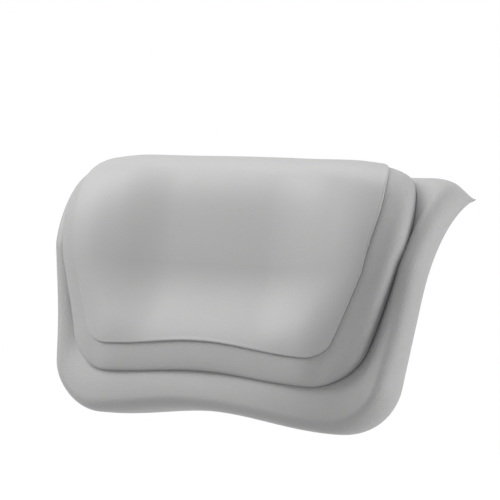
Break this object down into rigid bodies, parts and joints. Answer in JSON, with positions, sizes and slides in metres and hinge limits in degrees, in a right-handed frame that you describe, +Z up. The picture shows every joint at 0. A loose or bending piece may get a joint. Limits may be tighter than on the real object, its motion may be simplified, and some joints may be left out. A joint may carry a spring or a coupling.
{
  "type": "bath pillow",
  "caption": "Bath pillow of nested foam cushions with a lip over the bath rim, a ribbed back plate and swivelling suction cups.",
  "frame": {"origin": "on the bath's wall, midway between the four suction cups", "axes": "+X across the bath, to the right seen from the bather's side; +Y rearwards into the wall; +Z up along the wall"},
  "size_m": [0.3766, 0.1335, 0.2285],
  "materials": {
    "base_foam": "matt moulded foam skin with a fine leather grain",
    "middle_foam": "matt moulded foam skin with a fine leather grain",
    "pad_foam": "soft satin moulded foam skin, smoother than the rest",
    "plate_resin": "fine moulded texture",
    "socket_resin": "satin",
    "cup_vinyl": "glossy soft vinyl",
    "screw_steel": "plain zinc"
  },
  "bodies": {
    "pillow": {"base_cushion": "base_foam", "middle_cushion": "middle_foam", "head_pad": "pad_foam", "back_plate": "plate_resin", "cup_socket_ul": "socket_resin", "cup_socket_ur": "socket_resin", "cup_socket_ll": "socket_resin", "cup_socket_lr": "socket_resin", "socket_screw_ul_left": "screw_steel", "socket_screw_ul_right": "screw_steel", "socket_screw_ur_left": "screw_steel", "socket_screw_ur_right": "screw_steel", "socket_screw_ll_left": "screw_steel", "socket_screw_ll_right": "screw_steel", "socket_screw_lr_left": "screw_steel", "socket_screw_lr_right": "screw_steel"},
    "cup_ul": {"suction_cup_ul": "cup_vinyl"},
    "cup_ur": {"suction_cup_ur": "cup_vinyl"},
    "cup_ll": {"suction_cup_ll": "cup_vinyl"},
    "cup_lr": {"suction_cup_lr": "cup_vinyl"}
  },
  "joints": [
    {"name": "cup_ul_turn", "type": "hinge", "parent": "pillow", "child": "cup_ul", "pos_m": [-0.07, -0.009, 0.03], "axis": [0, 1, 0], "continuous": true},
    {"name": "cup_ur_turn", "type": "hinge", "parent": "pillow", "child": "cup_ur", "pos_m": [0.07, -0.009, 0.03], "axis": [0, 1, 0], "continuous": true},
    {"name": "cup_ll_turn", "type": "hinge", "parent": "pillow", "child": "cup_ll", "pos_m": [-0.07, -0.009, -0.03], "axis": [0, 1, 0], "continuous": true},
    {"name": "cup_lr_turn", "type": "hinge", "parent": "pillow", "child": "cup_lr", "pos_m": [0.07, -0.009, -0.03], "axis": [0, 1, 0], "continuous": true}
  ]
}
